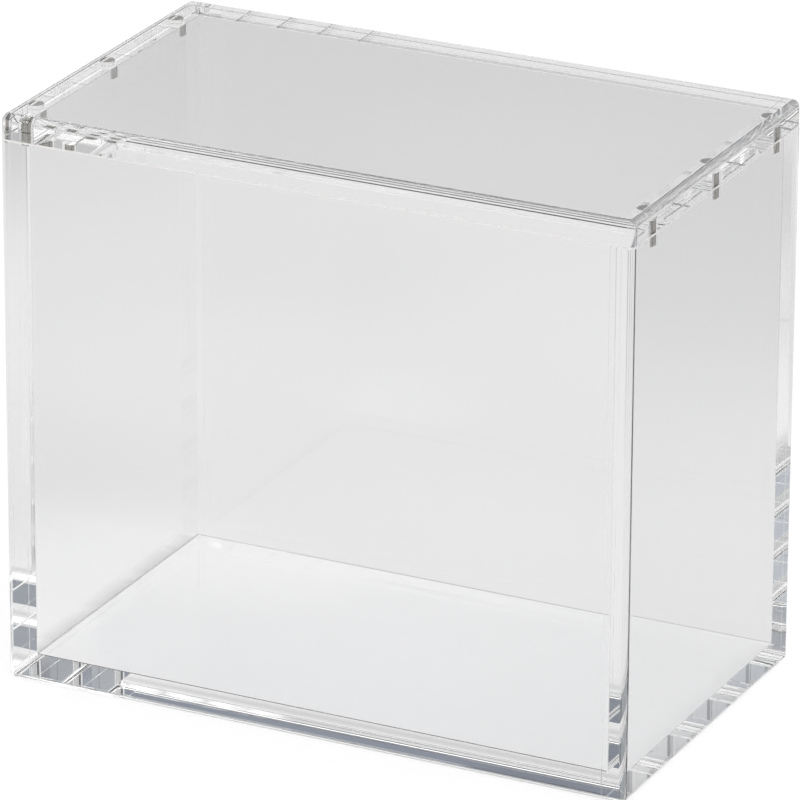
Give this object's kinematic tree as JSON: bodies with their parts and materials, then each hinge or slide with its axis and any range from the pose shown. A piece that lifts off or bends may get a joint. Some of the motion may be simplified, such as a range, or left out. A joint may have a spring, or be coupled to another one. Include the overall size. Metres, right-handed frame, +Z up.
{
  "type": "acrylic storage box with lid",
  "caption": "Clear acrylic display and storage box of cemented polished plates, open at the top, with a loose flat lid held by small disc magnets along its sides.",
  "frame": {"origin": "centre of the box's underside, where it stands", "axes": "+X to the right along the width, +Y from the front to the back, +Z up out of the box"},
  "size_m": [0.208, 0.1216, 0.1837],
  "materials": {
    "clear_acrylic": "clear cast acrylic sheet, polished on its faces and edges",
    "nickel_plate": "bright nickel plating over a sintered magnet"
  },
  "bodies": {
    "box": {"left_side_wall": "clear_acrylic", "right_side_wall": "clear_acrylic", "front_panel": "clear_acrylic", "back_panel": "clear_acrylic", "base_plate": "clear_acrylic", "wall_magnet_left_front": "nickel_plate", "wall_magnet_left_middle": "nickel_plate", "wall_magnet_left_back": "nickel_plate", "wall_magnet_right_front": "nickel_plate", "wall_magnet_right_middle": "nickel_plate", "wall_magnet_right_back": "nickel_plate"},
    "lid": {"lid_plate": "clear_acrylic", "lid_magnet_left_front": "nickel_plate", "lid_magnet_left_middle": "nickel_plate", "lid_magnet_left_back": "nickel_plate", "lid_magnet_right_front": "nickel_plate", "lid_magnet_right_middle": "nickel_plate", "lid_magnet_right_back": "nickel_plate"}
  },
  "joints": [
    {"name": "lid_lift", "type": "slide", "parent": "box", "child": "lid", "axis": [0, 0, 1], "range_m": [0, 0.12]}
  ]
}
